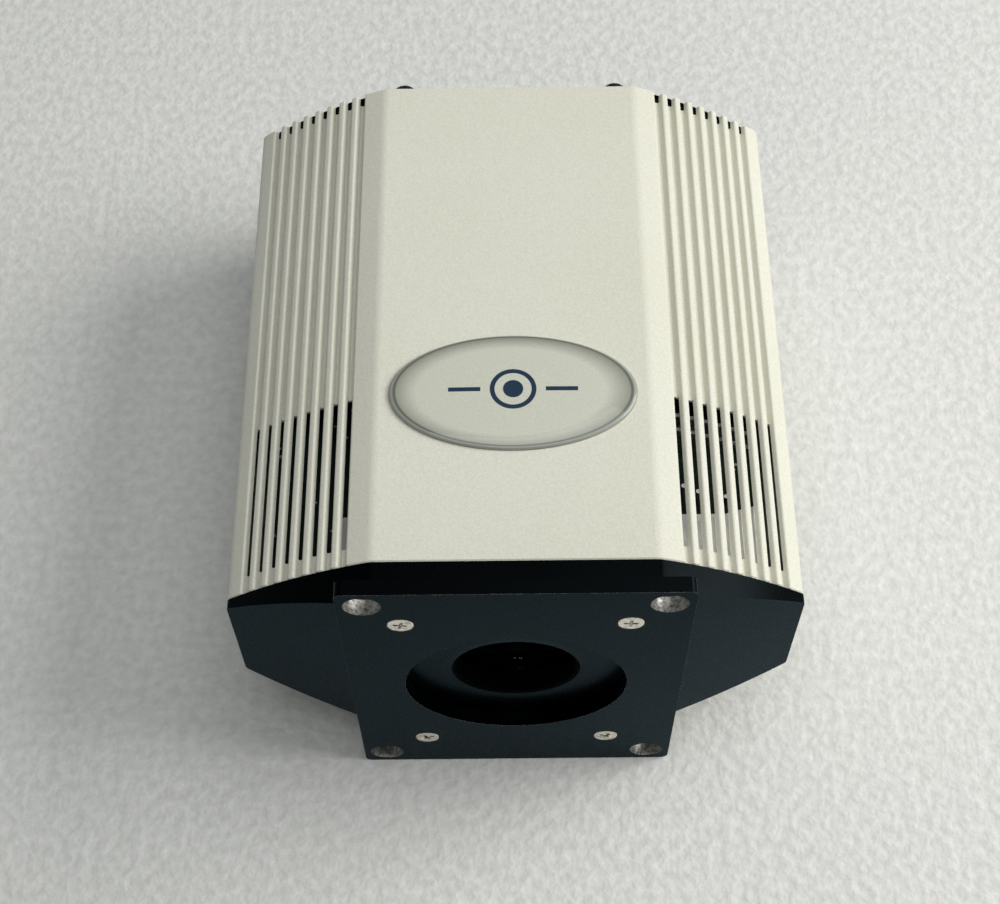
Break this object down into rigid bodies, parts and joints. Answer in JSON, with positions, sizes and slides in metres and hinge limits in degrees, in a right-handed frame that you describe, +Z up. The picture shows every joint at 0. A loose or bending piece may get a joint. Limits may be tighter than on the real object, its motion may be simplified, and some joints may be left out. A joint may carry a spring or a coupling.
{
  "type": "cooled astronomy camera",
  "caption": "Cooled scientific camera head: grooved cream body with side vents, black swept front housing and a bolt-on adapter plate around a threaded lens opening.",
  "frame": {"origin": "bottom centre of the bounding box: below the optical axis, on the level of the adapter plate's lower edge, halfway between the adapter plate's front face and the end of the rear sockets", "axes": "+Z up, +Y backwards along the optical axis from the lens opening to the rear panel, +X to the right as seen from the front; the camera looks along -Y"},
  "size_m": [0.1144, 0.1424, 0.0837],
  "materials": {
    "black_anodised": "satin black anodised, bare at worn edges",
    "nickel_screw": "bright nickel plate",
    "black_screw": "black oxide",
    "bare_aluminium": "machined",
    "black_rubber": "matt",
    "clear_glass": "polished, coated",
    "white_ceramic": "matt",
    "silicon": "mirror-like dark die",
    "circuit_board": "green solder mask",
    "black_plastic": "moulded",
    "plated_steel": "nickel plate",
    "cream_powder_coat": "fine-textured powder coat",
    "silver_label": "clear domed resin over a silver print",
    "green_lens": "tinted lens"
  },
  "bodies": {
    "camera_head": {"adapter_plate": "black_anodised", "front_housing": "black_anodised", "lens_mount_ring": "black_anodised", "window_retainer": "black_anodised", "chamber_body": "black_anodised", "rear_panel": "black_anodised", "adapter_screw_1": "nickel_screw", "adapter_screw_2": "nickel_screw", "adapter_screw_3": "nickel_screw", "adapter_screw_4": "nickel_screw", "heat_sink_screw_1": "nickel_screw", "heat_sink_screw_2": "nickel_screw", "heat_sink_screw_3": "nickel_screw", "heat_sink_screw_4": "nickel_screw", "fan_screw_1": "nickel_screw", "fan_screw_2": "nickel_screw", "fan_screw_3": "nickel_screw", "fan_screw_4": "nickel_screw", "chamber_screw_1": "black_screw", "chamber_screw_2": "black_screw", "chamber_screw_3": "black_screw", "chamber_screw_4": "black_screw", "rear_screw_1": "black_screw", "rear_screw_2": "black_screw", "rear_screw_3": "black_screw", "rear_screw_4": "black_screw", "cold_finger": "bare_aluminium", "heat_sink": "bare_aluminium", "board_bracket_right": "bare_aluminium", "board_bracket_left": "bare_aluminium", "tie_rod_1": "bare_aluminium", "tie_rod_2": "bare_aluminium", "tie_rod_3": "bare_aluminium", "tie_rod_4": "bare_aluminium", "window_seal": "black_rubber", "chamber_seal": "black_rubber", "chamber_window": "clear_glass", "sensor_glass": "clear_glass", "sensor_package": "white_ceramic", "thermoelectric_cooler": "white_ceramic", "sensor_die": "silicon", "sensor_board": "circuit_board", "main_board": "circuit_board", "power_board": "circuit_board", "fan_frame": "black_plastic", "switch_housing": "black_plastic", "board_post_1": "plated_steel", "board_post_2": "plated_steel", "board_post_3": "plated_steel", "board_post_4": "plated_steel", "tripod_socket": "plated_steel", "data_socket": "plated_steel", "power_socket": "plated_steel", "trigger_socket": "plated_steel", "body_sleeve": "cream_powder_coat", "badge": "silver_label", "status_lamp": "green_lens"},
    "fan_rotor": {"fan_rotor": "black_plastic"},
    "switch_rocker": {"switch_rocker": "black_plastic"}
  },
  "joints": [
    {"name": "fan_spin", "type": "hinge", "parent": "camera_head", "child": "fan_rotor", "pos_m": [0, -0.00755, 0.04185], "axis": [0, 1, 0], "continuous": true},
    {"name": "switch_tip", "type": "hinge", "parent": "camera_head", "child": "switch_rocker", "pos_m": [0.036, 0.05805, 0.03085], "axis": [1, 0, 0], "range_deg": [-18, 0]}
  ]
}
